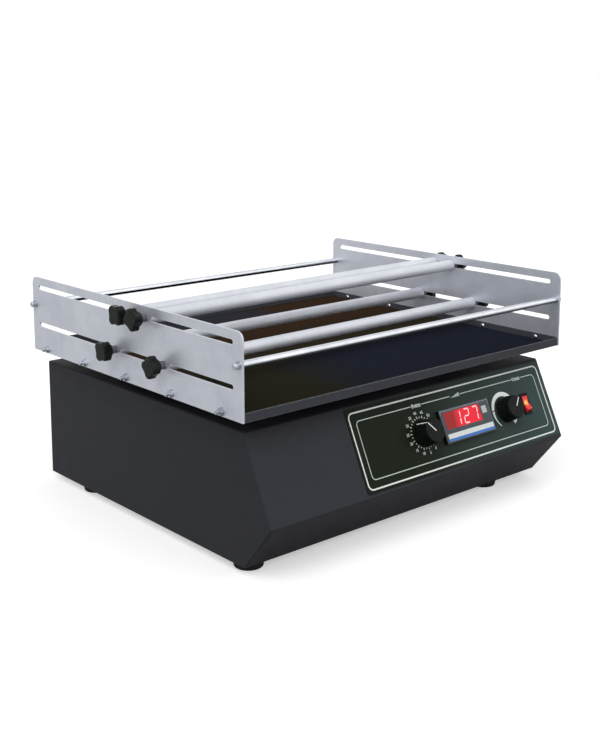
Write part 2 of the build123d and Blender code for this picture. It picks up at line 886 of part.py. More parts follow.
def driven_pulley():
    pulley = flanged_pulley(driven_pulley_diameter)
    inside = driven_pulley_diameter - 2 * pulley_flange_height
    web_low = pulley_width - driven_web_thickness
    recess = upright(inside, -1, web_low) - upright(driven_hub_diameter, -1, web_low)
    pulley -= recess
    pulley -= upright(shaft_diameter + running_clearance, -1, pulley_width + 1)
    hole_radius = (inside + driven_hub_diameter) / 4
    for index in range(driven_web_holes):
        hole = upright(driven_web_hole_diameter, -1, pulley_width + 1, hole_radius, 0)
        pulley -= Rot(0, 0, -90 + index * 360 / driven_web_holes) * hole
    return Pos(0, 0, pulley_z) * pulley


def counterweight():
    """A steel sector on the pulley, on the far side of the axis from the crank pin."""
    start_angle = counterweight_heading_angle - counterweight_angle / 2
    end_angle = counterweight_heading_angle + counterweight_angle / 2
    sector = make_face(
        [
            CenterArc((0, 0), counterweight_outer_radius, start_angle, counterweight_angle),
            CenterArc((0, 0), counterweight_inner_radius, start_angle, counterweight_angle),
            Line(
                Vector(counterweight_inner_radius, 0).rotate(Axis.Z, start_angle),
                Vector(counterweight_outer_radius, 0).rotate(Axis.Z, start_angle),
            ),
            Line(
                Vector(counterweight_inner_radius, 0).rotate(Axis.Z, end_angle),
                Vector(counterweight_outer_radius, 0).rotate(Axis.Z, end_angle),
            ),
        ]
    )
    return Pos(0, 0, crank_z) * extrude(sector, amount=counterweight_thickness)


# Belt and motor


def belt_loop(grow):
    """Outline of a loop round both pulleys, lying off their rims by a small amount."""
    driven = Circle(driven_pulley_diameter / 2 + grow)
    small = Pos(motor_x, motor_y) * Circle(motor_pulley_diameter / 2 + grow)
    return make_hull(driven.edges() + small.edges())


def drive_belt():
    low = pulley_z + pulley_flange_thickness + belt_side_clearance
    width = pulley_width - 2 * (pulley_flange_thickness + belt_side_clearance)
    outer = extrude(belt_loop(belt_lift + belt_thickness), amount=width)
    inner = extrude(belt_loop(belt_lift), amount=width)
    return Pos(0, 0, low) * (outer - inner)


def motor():
    flange_low = deck_underside_z - motor_flange_thickness
    plate = RectangleRounded(motor_flange_size, motor_flange_size, deck_corner_radius)
    body = Pos(0, 0, flange_low) * extrude(plate, amount=motor_flange_thickness)
    cap_top = motor_low_z + motor_cap_height
    body += upright(motor_diameter, cap_top, flange_low)
    body += upright(motor_diameter - 2 * motor_cap_inset, motor_low_z, cap_top)
    shaft_room = motor_shaft_diameter + 2 * running_clearance
    body -= upright(shaft_room, deck_underside_z - motor_shaft_depth, deck_underside_z + 1)
    half = motor_bolt_spacing / 2
    for x, y in four_corners(half, half):
        body -= upright(screw_m4 + 2 * running_clearance, flange_low - 1, deck_underside_z + 1, x, y)
    return Pos(motor_x, motor_y, 0) * body


def motor_shaft():
    low = deck_underside_z - motor_shaft_depth + part_clearance
    return upright(motor_shaft_diameter, low, pulley_z + pulley_width, motor_x, motor_y)


def motor_pulley():
    pulley = flanged_pulley(motor_pulley_diameter)
    pulley -= upright(motor_shaft_diameter + running_clearance, -1, pulley_width + 1)
    return Pos(motor_x, motor_y, pulley_z) * pulley


# Idler cranks


def idler_blocks():
    block = upright(idler_block_diameter, deck_top_z, idler_block_top_z)
    ears = SlotOverall(idler_block_flange + screw_m4, idler_block_flange / 2)
    block += Pos(0, 0, deck_top_z) * extrude(ears, amount=idler_block_flange_thickness)
    bore = idler_shaft_diameter + 2 * running_clearance
    block -= upright(bore, deck_top_z + idler_shaft_inset - part_clearance, idler_block_top_z + 1)
    for side in (-1, 1):
        hole_x = side * idler_bolt_spacing / 2
        hole = screw_m4 + 2 * running_clearance
        block -= upright(hole, deck_top_z - 1, deck_top_z + idler_block_flange_thickness + 1, hole_x)
    return group([Pos(x, y, 0) * block for x, y in four_corners(idler_x, idler_y)])


def idler_crank(x, y):
    crank = upright(idler_shaft_diameter, deck_top_z + idler_shaft_inset, idler_arm_z)
    arm = SlotCenterToCenter(orbit_radius, 2 * idler_arm_radius, rotation=90)
    arm = Pos(0, -orbit_radius / 2, idler_arm_z) * extrude(arm, amount=idler_arm_thickness)
    crank += arm
    pin = upright(idler_shaft_diameter, idler_arm_z + idler_arm_thickness, pin_top_z, 0, -orbit_radius)
    pin = chamfer(pin.edges().group_by(Axis.Z)[-1], turned_edge)
    return Pos(x, y, 0) * (crank + pin)


# Platform hubs, drawn about the platform's own centre


def hub(body_diameter, flange_diameter, bore_diameter):
    shape = upright(body_diameter, hub_bottom_z, platform_z)
    shape += upright(flange_diameter, platform_z - hub_flange_thickness, platform_z)
    return shape - upright(bore_diameter, hub_bottom_z - 1, platform_z - hub_cap_thickness)


def centre_hub():
    return hub(centre_hub_diameter, centre_hub_flange, crank_pin_diameter + 2 * running_clearance)


def idler_hubs():
    one = hub(idler_hub_diameter, idler_hub_flange, idler_shaft_diameter + 2 * open_pivot_clearance)
    return group([Pos(x, y, 0) * one for x, y in four_corners(idler_x, idler_y)])


# Tray and side plates, drawn about the platform's own centre


def plate_screw_rows():
    middle = (plate_screw_count - 1) / 2
    return [(index - middle) * plate_screw_pitch for index in range(plate_screw_count)]


def tray():
    depth = platform_depth - 2 * tray_front_inset
    width = 2 * plate_inner_x
    outer = Pos(0, 0, platform_z + tray_upstand / 2) * Box(width, depth, tray_upstand)
    room = Box(width - 2 * tray_sheet, depth - 2 * tray_sheet, tray_upstand)
    pan = outer - Pos(0, 0, tray_top_z + tray_upstand / 2) * room
    above_lip = Box(width - 2 * tray_sheet, 2 * depth, tray_upstand)
    pan -= Pos(0, 0, platform_z + tray_lip + tray_upstand / 2) * above_lip
    for x, y in four_corners(width / 2, depth / 2):
        pan -= upright(tray_corner_relief, tray_top_z, platform_z + tray_upstand + 1, x, y)
    screw_z = platform_z + plate_screw_height
    hole = plate_screw_diameter + 2 * running_clearance
    for y in plate_screw_rows():
        pan -= crosswise(hole, -width, width, y, screw_z)
    lip_hole = Rot(90, 0, 0) * Cylinder(lip_hole_diameter / 2, 4 * tray_sheet)
    pan -= Pos(lip_hole_x, -depth / 2, screw_z) * lip_hole
    return pan


def tray_mat():
    width = 2 * (plate_inner_x - tray_sheet - mat_side_gap)
    depth = platform_depth - 2 * (tray_front_inset + tray_sheet + mat_end_gap)
    sheet = RectangleRounded(width, depth, 2 * mat_thickness)
    return Pos(0, 0, tray_top_z) * extrude(sheet, amount=mat_thickness)


def side_plate(side):
    """Slotted stainless plate; side is -1 for the left plate and 1 for the right."""
    sheet = Rectangle(platform_depth, side_plate_height)
    sheet = Pos(0, side_plate_height / 2) * sheet
    sheet = fillet(sheet.vertices().group_by(Axis.Y)[-1], side_plate_corner_radius)
    for height in (lower_slot_height, upper_slot_height):
        sheet -= Pos(0, height) * SlotOverall(2 * slot_half_length, slot_width)
    for y in plate_screw_rows():
        sheet -= Pos(y, plate_screw_height) * Circle(plate_screw_diameter / 2 + running_clearance)
    for y in (-tie_rod_y, tie_rod_y):
        sheet -= Pos(y, tie_rod_height) * Circle(tie_screw_diameter / 2 + running_clearance)
    middle_x = side * (plate_inner_x + side_plate_thickness / 2)
    face = Plane(origin=(middle_x, 0, platform_z), x_dir=(0, 1, 0), z_dir=(1, 0, 0))
    return extrude(face * sheet, amount=side_plate_thickness / 2, both=True)


def plate_screws():
    """Button head screws from inside the tray, through the upstand and the side plate."""
    inner_x = plate_inner_x - tray_sheet
    tip_x = platform_width / 2 + plate_screw_tail
    screws = []
    for y in plate_screw_rows():
        z = platform_z + plate_screw_height
        shank = crosswise(plate_screw_diameter, inner_x, tip_x, y, z)
        head = crosswise(plate_screw_head_diameter, inner_x - plate_screw_head_height, inner_x, y, z)
        head = chamfer(head.edges().group_by(Axis.X)[0], plate_screw_head_height * 0.6)
        screw = head + shank
        screws += [screw, mirror(screw, Plane.YZ)]
    return group(screws)


def plate_nuts():
    outer_x = platform_width / 2
    nuts = []
    for y in plate_screw_rows():
        z = platform_z + plate_screw_height
        washer = crosswise(nut_washer_diameter, outer_x, outer_x + nut_washer_thickness, y, z)
        hexagon = RegularPolygon(nut_across_flats / 2, 6, major_radius=False)
        face = Plane(origin=(outer_x + nut_washer_thickness, y, z), x_dir=(0, 1, 0), z_dir=(1, 0, 0))
        nut = washer + extrude(face * hexagon, amount=nut_height)
        bore = plate_screw_diameter + running_clearance
        nut -= crosswise(bore, outer_x - 1, outer_x + 2 * nut_height, y, z)
        nuts += [nut, mirror(nut, Plane.YZ)]
    return group(nuts)


def tie_rod(y):
    rod = crosswise(tie_rod_diameter, -plate_inner_x, plate_inner_x, y, platform_z + tie_rod_height)
    bore = tie_screw_diameter + running_clearance
    for side in (-1, 1):
        deep = side * (plate_inner_x - tie_screw_depth - 1)
        ends = sorted((deep, side * (plate_inner_x + 1)))
        rod -= crosswise(bore, ends[0], ends[1], y, platform_z + tie_rod_height)
    return rod


def tie_rod_screws():
    outer_x = platform_width / 2
    screws = []
    for y in (-tie_rod_y, tie_rod_y):
        z = platform_z + tie_rod_height
        shank = crosswise(tie_screw_diameter, plate_inner_x - tie_screw_depth, outer_x, y, z)
        washer = crosswise(nut_washer_diameter, outer_x, outer_x + nut_washer_thickness, y, z)
        head_x = outer_x + nut_washer_thickness
        head = crosswise(tie_screw_head_diameter, head_x, head_x + tie_screw_head_height, y, z)
        head = chamfer(head.edges().group_by(Axis.X)[-1], turned_edge)
        screw = shank + washer + head
        screws += [screw, mirror(screw, Plane.YZ)]
    return group(screws)


# Clamp bars and knobs, drawn about the platform's own centre

bars = {
    "upper_rear": (upper_rear_bar_ends, upper_slot_height, upper_rear_knob_turns),
    "upper_front": (upper_front_bar_ends, upper_slot_height, upper_front_knob_turns),
    "lower_rear": (lower_rear_bar_ends, lower_slot_height, lower_rear_knob_turns),
    "lower_front": (lower_front_bar_ends, lower_slot_height, lower_front_knob_turns),
}


def bar_place(ends, height):
    """The middle of a bar whose studs cross the two plates at different places along the slots."""
    left_y, right_y = ends
    skew_angle = math.degrees(math.atan2(right_y - left_y, platform_width))
    return Pos(0, (left_y + right_y) / 2, platform_z + height) * Rot(0, 0, skew_angle)


def clamp_bar(ends, height):
    """A tube between the side plates, with a studded plug and a spacer at each end."""
    end_x = plate_inner_x - bar_end_gap
    bore = bar_diameter - 2 * bar_wall
    tube = crosswise(bar_diameter, -end_x, end_x) - crosswise(bore, -end_x - 1, end_x + 1)
    stud_tip = platform_width / 2 + knob_standoff + knob_bore_depth - part_clearance
    plug = crosswise(bore - 2 * running_clearance, end_x - bar_plug_length, end_x)
    plug += crosswise(stud_diameter, end_x, stud_tip)
    spacer_start = platform_width / 2 + bar_end_gap
    spacer_end = platform_width / 2 + knob_standoff - part_clearance
    spacer = crosswise(spacer_diameter, spacer_start, spacer_end)
    spacer -= crosswise(stud_diameter + running_clearance, spacer_start - 1, spacer_end + 1)
    bar = group([tube, plug, spacer, mirror(plug, Plane.YZ), mirror(spacer, Plane.YZ)])
    return bar_place(ends, height) * bar


def knob_outline():
    """A rounded square whose four sides are drawn in a little."""
    outline = RectangleRounded(knob_head_width, knob_head_width, knob_corner_radius)
    waist_centre = knob_head_width / 2 + knob_waist_radius - knob_waist_depth
    waist = Pos(waist_centre, 0) * Circle(knob_waist_radius)
    for quarter in range(4):
        outline -= Rot(0, 0, quarter * 90) * waist
    return outline


def clamp_knob(side, ends, height, turn):
    """Square knob tightened to some angle; side is -1 for the left plate and 1 for the right."""
    boss = upright(knob_boss_diameter, 0, knob_boss_length)
    head = Pos(0, 0, knob_boss_length) * extrude(knob_outline(), amount=knob_head_thickness)
    head = fillet(head.edges().group_by(Axis.Z)[-1], knob_front_rounding)
    head = fillet(head.edges().group_by(Axis.Z)[0], knob_back_rounding)
    knob = boss + head - upright(stud_diameter + 2 * running_clearance, -1, knob_bore_depth)
    knob = Pos(platform_width / 2 + knob_standoff, 0, 0) * Rot(0, 90, 0) * Rot(0, 0, turn) * knob
    knob = knob if side > 0 else mirror(knob, Plane.YZ)
    return bar_place(ends, height) * knob


# Save every piece

save(housing_shell(), "housing_shell")
save(base_plate(), "base_plate")
save(rubber_feet(), "rubber_feet")
save(foot_screws(), "foot_screws")
save(base_screws(), "base_screws")
save(control_fascia(), "control_fascia")
save(display_case(), "display_case")
save(display_window(), "display_window")
save(timer_unit(), "timer_unit")
save(speed_potentiometer(), "speed_potentiometer")
save(on_slope(spindle(), timer_x), "timer_spindle")
save(on_slope(spindle(), speed_x), "speed_spindle")
save(on_slope(dial_knob(), timer_x), "timer_knob")
save(on_slope(dial_knob(), speed_x), "speed_knob")
save(switch_frame(), "switch_frame")
save(power_rocker(), "power_rocker")
save(mains_inlet(), "mains_inlet")
save(fuse_drawer(), "fuse_drawer")
save(control_board(), "control_board")
save(board_standoffs(), "board_standoffs")
save(mechanism_deck(), "mechanism_deck")
save(deck_posts(), "deck_posts")
save(deck_screws(), "deck_screws")
save(bearing_housing(), "bearing_housing")
save(main_bearings(), "main_bearings")
save(eccentric_shaft(), "eccentric_shaft")
save(driven_pulley(), "driven_pulley")
save(counterweight(), "counterweight")
save(drive_belt(), "drive_belt")
save(motor(), "motor")
save(motor_shaft(), "motor_shaft")
save(motor_pulley(), "motor_pulley")
save(idler_blocks(), "idler_blocks")
for side_name, idler_side in (("left", -1), ("right", 1)):
    for end_name, idler_end in (("front", -1), ("rear", 1)):
        crank = idler_crank(idler_side * idler_x, idler_end * idler_y)
        save(crank, f"idler_crank_{end_name}_{side_name}")
save(centre_hub(), "centre_hub", platform_place)
save(idler_hubs(), "idler_hubs", platform_place)
save(tray(), "tray", platform_place)
save(tray_mat(), "tray_mat", platform_place)
save(side_plate(-1), "side_plate_left", platform_place)
save(side_plate(1), "side_plate_right", platform_place)
save(plate_screws(), "plate_screws", platform_place)
save(plate_nuts(), "plate_nuts", platform_place)
save(tie_rod(-tie_rod_y), "tie_rod_front", platform_place)
save(tie_rod(tie_rod_y), "tie_rod_rear", platform_place)
save(tie_rod_screws(), "tie_rod_screws", platform_place)
for bar_name, (bar_ends, bar_height, knob_turns) in bars.items():
    save(clamp_bar(bar_ends, bar_height), f"clamp_bar_{bar_name}", platform_place)
    for side_name, knob_side, knob_turn in zip(("left", "right"), (-1, 1), knob_turns):
        knob = clamp_knob(knob_side, bar_ends, bar_height, knob_turn)
        save(knob, f"clamp_knob_{bar_name}_{side_name}", platform_place)
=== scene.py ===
import json
import math

import bpy
from mathutils import Euler, Matrix, Vector
from mathutils.bvhtree import BVHTree


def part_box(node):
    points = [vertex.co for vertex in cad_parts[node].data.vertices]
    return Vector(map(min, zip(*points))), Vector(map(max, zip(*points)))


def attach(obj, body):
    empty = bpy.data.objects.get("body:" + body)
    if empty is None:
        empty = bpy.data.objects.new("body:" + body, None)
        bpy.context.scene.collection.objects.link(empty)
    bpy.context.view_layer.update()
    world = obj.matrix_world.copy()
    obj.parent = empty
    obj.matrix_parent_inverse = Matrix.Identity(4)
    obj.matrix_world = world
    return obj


# Orbital shaker: materials, printed marks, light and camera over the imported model.
# Lengths below are in millimetres unless a name says otherwise. The scene is in metres.

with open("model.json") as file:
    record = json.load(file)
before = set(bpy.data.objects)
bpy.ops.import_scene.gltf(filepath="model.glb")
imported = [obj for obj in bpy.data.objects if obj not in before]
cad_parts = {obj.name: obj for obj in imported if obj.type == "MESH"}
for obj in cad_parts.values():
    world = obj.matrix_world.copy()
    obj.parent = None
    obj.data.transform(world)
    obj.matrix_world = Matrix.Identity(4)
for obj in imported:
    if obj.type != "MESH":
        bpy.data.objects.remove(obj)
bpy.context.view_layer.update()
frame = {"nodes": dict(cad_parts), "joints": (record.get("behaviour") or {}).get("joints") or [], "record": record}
MM = 0.001
nodes = frame["nodes"]
slot_of = {part["node"]: part["material_slot"] for part in frame["record"]["subparts"]}

# Camera

camera_place = Vector((-0.92872, -1.06234, 0.51106))
camera_yaw = -40.954
camera_pitch = -9.402
camera_roll = -0.052
camera_data = bpy.data.cameras.new("camera")
camera_data.lens = 56.432
camera_data.sensor_width = 36.0
camera_data.sensor_fit = "AUTO"
camera_data.shift_x = 0.0
camera_data.shift_y = -0.15
camera_data.clip_start = 0.05
camera_data.clip_end = 100.0
camera = bpy.data.objects.new("camera", camera_data)
bpy.context.scene.collection.objects.link(camera)
camera.location = camera_place
turn = Matrix.Rotation(math.radians(camera_yaw), 4, "Z")
tip = Matrix.Rotation(math.radians(90.0 + camera_pitch), 4, "X")
spin = Matrix.Rotation(math.radians(camera_roll), 4, "Z")
camera.matrix_world = Matrix.Translation(camera_place) @ turn @ tip @ spin
bpy.context.scene.camera = camera
bpy.context.scene.view_settings.view_transform = "Standard"


# Finishes

def paint(red, green, blue):
    """A screen colour, 0 to 255, as the linear colour a shader takes."""
    linear = []
    for value in (red, green, blue):
        part = value / 255.0
        if part <= 0.04045:
            linear.append(part / 12.92)
        else:
            linear.append(((part + 0.055) / 1.055) ** 2.4)
    return (linear[0], linear[1], linear[2], 1.0)


class Finish:
    """One procedural finish: a principled shader and the textures that feed it.

    The colour given here is the plain one, for a viewer that doesn't read the textures.
    """

    def __init__(self, name, colour, roughness, metallic=0.0, coat=0.0, specular=0.5):
        self.material = bpy.data.materials.new(name)
        self.material.use_nodes = True
        self.tree = self.material.node_tree
        self.shader = self.tree.nodes["Principled BSDF"]
        self.shader.inputs["Base Color"].default_value = colour
        self.shader.inputs["Roughness"].default_value = roughness
        self.shader.inputs["Metallic"].default_value = metallic
        self.shader.inputs["Specular IOR Level"].default_value = specular
        self.shader.inputs["Coat Weight"].default_value = coat
        self.coordinates = self.add("ShaderNodeTexCoord").outputs["Object"]
        self.bump_normal = None
        self.tone = None

    def add(self, kind):
        return self.tree.nodes.new(kind)

    def join(self, source, target):
        self.tree.links.new(source, target)

    def stretched(self, stretch):
        """Object coordinates multiplied by stretch along X, Y and Z."""
        node = self.add("ShaderNodeMapping")
        node.inputs["Scale"].default_value = stretch
        self.join(self.coordinates, node.inputs["Vector"])
        return node.outputs["Vector"]

    def noise(self, size, stretch=(1.0, 1.0, 1.0), detail=2.0, rough=0.5):
        """Cloudy noise whose blotches are about size millimetres across."""
        node = self.add("ShaderNodeTexNoise")
        node.inputs["Scale"].default_value = 1.0 / (size * MM)
        node.inputs["Detail"].default_value = detail
        node.inputs["Roughness"].default_value = rough
        self.join(self.stretched(stretch), node.inputs["Vector"])
        return node.outputs["Fac"]

    def ramp(self, source, low, high, bottom=0.0, top=1.0, smooth=False):
        """source between low and high, remapped to bottom and top, and clamped."""
        node = self.add("ShaderNodeMapRange")
        node.interpolation_type = "SMOOTHSTEP" if smooth else "LINEAR"
        node.inputs["From Min"].default_value = low
        node.inputs["From Max"].default_value = high
        node.inputs["To Min"].default_value = bottom
        node.inputs["To Max"].default_value = top
        self.join(source, node.inputs["Value"])
        return node.outputs["Result"]

    def maths(self, operation, *sources):
        node = self.add("ShaderNodeMath")
        node.operation = operation
        for source, socket in zip(sources, node.inputs):
            self.join(source, socket)
        return node.outputs["Value"]

    def along(self, axis):
        """One of the object coordinates, X, Y or Z, in metres."""
        node = self.add("ShaderNodeSeparateXYZ")
        self.join(self.coordinates, node.inputs["Vector"])
        return node.outputs[axis]

    def colours(self, factor, first, second):
        """first where factor is 0 and second where it is 1. Each is a colour or a socket."""
        node = self.add("ShaderNodeMix")
        node.data_type = "RGBA"
        node.clamp_factor = True
        self.join(factor, node.inputs[0])
        for socket, value in ((node.inputs[6], first), (node.inputs[7], second)):
            if isinstance(value, tuple):
                socket.default_value = value
            else:
                self.join(value, socket)
        return node.outputs[2]

    def edges(self, radius):
        """1 on edges that turn within radius millimetres, 0 on flats."""
        bevel = self.add("ShaderNodeBevel")
        bevel.samples = 4
        bevel.inputs["Radius"].default_value = radius * MM
        geometry = self.add("ShaderNodeNewGeometry")
        dot = self.add("ShaderNodeVectorMath")
        dot.operation = "DOT_PRODUCT"
        self.join(bevel.outputs["Normal"], dot.inputs[0])
        self.join(geometry.outputs["Normal"], dot.inputs[1])
        return self.ramp(dot.outputs["Value"], 0.995, 0.8)

    def colour(self, source):
        self.join(source, self.shader.inputs["Base Color"])

    def roughness(self, source):
        self.join(source, self.shader.inputs["Roughness"])

    def bump(self, source, height, strength=0.5):
        """Relief of height millimetres where source goes from 0 to 1."""
        node = self.add("ShaderNodeBump")
        node.inputs["Strength"].default_value = strength
        node.inputs["Distance"].default_value = height * MM
        self.join(source, node.inputs["Height"])
        if self.bump_normal is not None:
            self.join(self.bump_normal, node.inputs["Normal"])
        self.bump_normal = node.outputs["Normal"]
        self.join(self.bump_normal, self.shader.inputs["Normal"])


def powder_coat(name, colour, light, dark, edge_wear_and_highlight):
    """Textured paint baked on sheet metal, paler on its edges: rubbed wear, and a painted highlight that is
    strongest along the tray's lips.
    """
    made = Finish(name, colour, 0.5, specular=0.06)
    speckle = made.noise(0.9, detail=3.0, rough=0.6)
    clouds = made.noise(70.0, detail=3.0)
    mottled = made.colours(made.ramp(speckle, 0.3, 0.7), dark, light)
    toned = made.colours(made.ramp(clouds, 0.35, 0.7, 0.0, 0.15), mottled, dark)
    scuffs = made.ramp(made.noise(6.0, detail=4.0), 0.3, 0.75, 0.15, 0.9)
    # Paler edges: partly wear and partly a painted highlight.
    wear_and_highlight_edges = made.maths("MULTIPLY", made.edges(0.9), scuffs)
    made.colour(made.colours(wear_and_highlight_edges, toned, edge_wear_and_highlight))
    made.roughness(made.ramp(made.noise(18.0, detail=4.0), 0.25, 0.75, 0.46, 0.54))
    made.bump(made.noise(1.4, detail=2.0), 0.1, 0.3)
    made.bump(speckle, 0.05, 0.3)
    return made


def brushed(name, colour, dark, light, stretch, roughness, cut_edge_highlight=None, metallic=1.0):
    """Brushed or polished metal, its lines running along the axis with the least stretch."""
    made = Finish(name, colour, roughness, metallic=metallic)
    lines = made.noise(1.6, stretch=stretch, detail=3.0, rough=0.65)
    clouds = made.noise(45.0, detail=4.0, rough=0.6)
    stained = made.noise(9.0, detail=4.0, rough=0.6)
    tone = made.colours(made.ramp(clouds, 0.3, 0.7), dark, light)
    grained = made.colours(made.ramp(lines, 0.3, 0.7, 0.0, 0.28), tone, dark)
    blotched = made.colours(made.ramp(stained, 0.45, 0.7, 0.0, 0.3), grained, light)
    # A painted highlight along the edges of the cut sheet.
    if cut_edge_highlight is not None:
        blotched = made.colours(made.edges(0.7), blotched, cut_edge_highlight)
    made.tone = blotched
    made.colour(blotched)
    made.roughness(made.ramp(lines, 0.25, 0.75, roughness * 0.8, roughness * 1.2))
    made.bump(lines, 0.02, 0.25)
    return made


def moulded(name, colour, light, roughness, specular):
    """Moulded plastic with a fine spark-eroded grain."""
    made = Finish(name, colour, roughness, specular=specular)
    clouds = made.noise(12.0, detail=3.0)
    made.colour(made.colours(made.ramp(clouds, 0.35, 0.7), colour, light))
    made.roughness(made.ramp(made.noise(3.0), 0.3, 0.7, roughness - 0.05, roughness + 0.07))
    made.bump(made.noise(0.6, detail=1.0), 0.03, 0.25)
    return made


finishes = {}
finishes["housing_paint"] = powder_coat(
    "housing_paint", paint(60, 61, 67), paint(65, 66, 72), paint(55, 56, 61), paint(90, 91, 97)
)
# The tray's pale edge colour is a painted highlight for the light line along its lips.
finishes["tray_paint"] = powder_coat(
    "tray_paint", paint(76, 77, 84), paint(82, 83, 90), paint(70, 71, 77), paint(166, 168, 176)
)
# The stainless sheet's palest colour is a painted highlight on its cut edges.
finishes["stainless"] = brushed(
    "stainless", paint(213, 217, 226), paint(202, 206, 216), paint(220, 224, 233),
    (1.0, 0.05, 1.0), 0.42, cut_edge_highlight=paint(240, 242, 248), metallic=0.6
)
finishes["bar_aluminium"] = brushed(
    "bar_aluminium", paint(222, 225, 232), paint(212, 215, 223), paint(230, 233, 240),
    (0.04, 1.0, 1.0), 0.5, metallic=0.3
)
finishes["polished_steel"] = brushed(
    "polished_steel", paint(206, 209, 215), paint(192, 195, 202), paint(222, 225, 230),
    (0.04, 1.0, 1.0), 0.12
)
finishes["fasteners"] = brushed(
    "fasteners", paint(180, 183, 190), paint(162, 165, 172), paint(200, 203, 209),
    (1.0, 1.0, 0.5), 0.3
)
finishes["plated_steel"] = brushed(
    "plated_steel", paint(188, 190, 192), paint(165, 167, 170), paint(206, 208, 205),
    (0.3, 1.0, 1.0), 0.34
)
finishes["machined_steel"] = brushed(
    "machined_steel", paint(186, 187, 190), paint(168, 170, 173), paint(203, 204, 206),
    (1.0, 1.0, 6.0), 0.27
)
finishes["brass"] = brushed(
    "brass", paint(200, 165, 96), paint(178, 142, 78), paint(216, 184, 118),
    (1.0, 1.0, 4.0), 0.3
)
finishes["black_plastic"] = moulded(
    "black_plastic", paint(17, 21, 19), paint(24, 29, 26), 0.32, 0.08
)
finishes["knob_plastic"] = moulded(
    "knob_plastic", paint(19, 23, 21), paint(28, 34, 31), 0.27, 0.12
)


def cast_metal():
    made = Finish("cast_aluminium", paint(168, 170, 172), 0.5, metallic=0.9)
    grit = made.noise(0.8, detail=3.0, rough=0.7)
    clouds = made.noise(22.0, detail=3.0)
    tone = made.colours(made.ramp(clouds, 0.3, 0.7), paint(150, 152, 155), paint(180, 182, 183))
    made.colour(tone)
    made.roughness(made.ramp(grit, 0.3, 0.7, 0.42, 0.62))
    made.bump(grit, 0.12, 0.5)
    return made


def motor_coat():
    made = Finish("motor_paint", paint(44, 46, 50), 0.42)
    grit = made.noise(1.1, detail=3.0)
    made.colour(made.colours(made.ramp(grit, 0.3, 0.7), paint(38, 40, 44), paint(52, 54, 58)))
    made.roughness(made.ramp(made.noise(15.0), 0.3, 0.7, 0.36, 0.52))
    made.bump(grit, 0.08, 0.4)
    return made


def moulded_rubber():
    made = Finish("rubber", paint(20, 20, 21), 0.72, specular=0.3)
    dust = made.ramp(made.noise(8.0, detail=4.0), 0.45, 0.75, 0.0, 0.5)
    made.colour(made.colours(dust, paint(18, 18, 19), paint(38, 38, 39)))
    made.roughness(made.ramp(made.noise(2.0), 0.3, 0.7, 0.62, 0.8))
    made.bump(made.noise(0.7), 0.06, 0.4)
    return made


def ribbed_belt():
    made = Finish("belt", paint(26, 26, 27), 0.6, specular=0.3)
    woven = made.noise(0.9, stretch=(1.0, 1.0, 0.3), detail=3.0)
    made.colour(made.colours(made.ramp(woven, 0.3, 0.7), paint(20, 20, 21), paint(36, 36, 37)))
    made.bump(woven, 0.1, 0.5)
    return made


def circuit_board():
    made = Finish("board", paint(34, 92, 58), 0.35, coat=0.4)
    tracks = made.add("ShaderNodeTexBrick")
    tracks.inputs["Scale"].default_value = 160.0
    tracks.inputs["Mortar Size"].default_value = 0.03
    tracks.inputs["Color1"].default_value = paint(28, 84, 52)
    tracks.inputs["Color2"].default_value = paint(34, 96, 60)
    tracks.inputs["Mortar"].default_value = paint(64, 130, 84)
    made.join(made.coordinates, tracks.inputs["Vector"])
    dust = made.ramp(made.noise(10.0, detail=3.0), 0.4, 0.7, 0.0, 0.3)
    made.colour(made.colours(dust, tracks.outputs["Color"], paint(70, 92, 76)))
    made.bump(tracks.outputs["Fac"], 0.05, 0.3)
    return made


def rubber_mat():
    """Dark mat with painted reflections: olive at the front left, navy at the front right and brown further back.
    """
    made = Finish("mat", paint(38, 36, 28), 0.6, specular=0.0)
    low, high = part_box("tray_mat")
    across = made.ramp(made.along("X"), low.x, high.x)
    depth = made.ramp(made.along("Y"), low.y, high.y)
    drift = made.ramp(made.noise(120.0, detail=2.0), 0.3, 0.7, -0.04, 0.04)
    shifted_depth = made.maths("ADD", depth, drift)
    turned = made.ramp(made.maths("ADD", across, drift), 0.2, 0.48, smooth=True)
    # The olive, navy and brown patches are painted reflections.
    front = made.colours(turned, paint(39, 37, 25), paint(31, 35, 46))
    middle = made.colours(
        made.ramp(shifted_depth, 0.45, 0.7, smooth=True), paint(52, 47, 34), paint(56, 41, 29)
    )
    toned = made.colours(made.ramp(shifted_depth, 0.32, 0.45, smooth=True), front, middle)
    rear = made.ramp(shifted_depth, 0.84, 0.93, smooth=True)
    leftward = made.ramp(across, 0.78, 0.6, smooth=True)
    rear_left = made.maths("MULTIPLY", rear, leftward)
    toned = made.colours(rear_left, toned, paint(48, 49, 56))
    speckle = made.ramp(made.noise(1.0, detail=3.0), 0.35, 0.75, 0.0, 0.3)
    made.colour(made.colours(speckle, toned, paint(50, 50, 50)))
    made.roughness(made.ramp(made.noise(14.0, detail=3.0), 0.3, 0.7, 0.42, 0.6))
    made.bump(made.noise(1.8, detail=2.0), 0.15, 0.4)
    return made


def printed_film():
    """Satin overlay, green-black at the left and cooler at the right."""
    made = Finish("panel_film", paint(34, 40, 36), 0.34, specular=0.06)
    low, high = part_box("control_fascia")
    across = made.ramp(made.along("X"), low.x, high.x)
    turned = made.ramp(across, 0.28, 0.56, smooth=True)
    toned = made.colours(turned, paint(23, 30, 16), paint(50, 62, 56))
    toned = made.colours(made.ramp(across, 0.56, 0.95), toned, paint(63, 81, 81))
    fleck = made.ramp(made.noise(0.6, detail=2.0), 0.35, 0.7, 0.0, 0.15)
    made.colour(made.colours(fleck, toned, paint(52, 62, 58)))
    made.roughness(made.ramp(made.noise(25.0, detail=3.0), 0.3, 0.7, 0.28, 0.4))
    made.bump(made.noise(0.5, detail=1.0), 0.02, 0.3)
    return made


